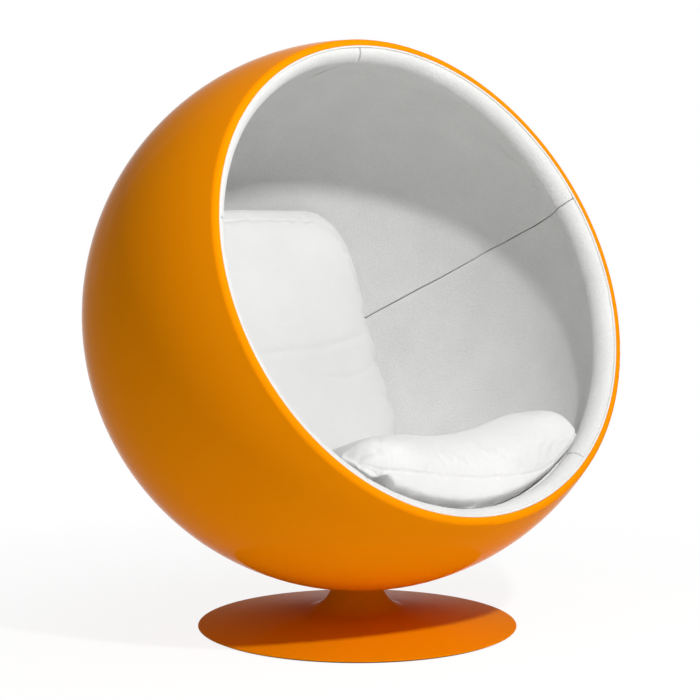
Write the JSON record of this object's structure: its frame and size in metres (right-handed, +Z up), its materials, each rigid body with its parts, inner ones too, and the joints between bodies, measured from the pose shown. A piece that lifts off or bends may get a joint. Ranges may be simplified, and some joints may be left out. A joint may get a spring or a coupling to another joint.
{
  "type": "pod chair",
  "caption": "Glossy orange ball chair with a slanted round opening, padded white lining and loose seat and back cushions, turning on a flared disc base.",
  "frame": {"origin": "on the swivel axis at the floor, in the middle of the felt pad's underside", "axes": "+Z up, the chair faces -Y, +X is to the right of someone looking at the chair from the front"},
  "size_m": [1.0998, 0.9607, 1.1818],
  "materials": {
    "orange_shell": "high gloss",
    "orange_paint": "gloss",
    "lining_fabric": "fine felted wool",
    "cushion_fabric": "smooth woven cotton",
    "foam": "open-cell foam",
    "felt": "pressed felt",
    "plywood": "bare",
    "white_tape": "woven tape",
    "black_plastic": "matt",
    "steel": "machined"
  },
  "bodies": {
    "base": {"felt_floor_pad": "felt", "ballast_plate": "steel", "base_trumpet": "orange_paint", "trumpet_screws": "steel", "spindle": "steel", "spindle_bolts": "steel", "spindle_washer": "steel", "spindle_nut": "steel", "bearing_inner_rings": "steel", "bearing_balls": "steel", "inner_spacer": "steel"},
    "ball": {"ball_shell": "orange_shell", "swivel_housing": "steel", "bearing_outer_rings": "steel", "outer_spacer": "steel", "circlip": "steel", "anchor_plate": "steel", "anchor_washers": "steel", "anchor_bolts": "steel", "access_plug": "black_plastic", "tacking_ring": "plywood", "rim_welt": "lining_fabric", "liner_upper_right": "lining_fabric", "liner_upper_left": "lining_fabric", "liner_side_left": "lining_fabric", "liner_bottom": "lining_fabric", "liner_side_right": "lining_fabric", "seat_block": "foam", "loop_strips": "white_tape"},
    "seat_cushion": {"seat_cushion_cover": "cushion_fabric", "seat_cushion_core": "foam", "seat_cushion_zip": "white_tape", "hook_strips": "white_tape"},
    "back_cushion": {"back_cushion_cover": "cushion_fabric", "back_cushion_core": "foam", "back_cushion_zip": "white_tape"}
  },
  "joints": [
    {"name": "ball_swivel", "type": "hinge", "parent": "base", "child": "ball", "pos_m": [0, 0, 0.05], "axis": [0, 0, 1], "continuous": true},
    {"name": "seat_cushion_lift_out", "type": "slide", "parent": "ball", "child": "seat_cushion", "axis": [0, -0.9245, 0.3811], "range_m": [0, 0.6]},
    {"name": "back_cushion_lift_out", "type": "slide", "parent": "ball", "child": "back_cushion", "axis": [0, -0.8536, 0.521], "range_m": [0, 0.7]}
  ]
}
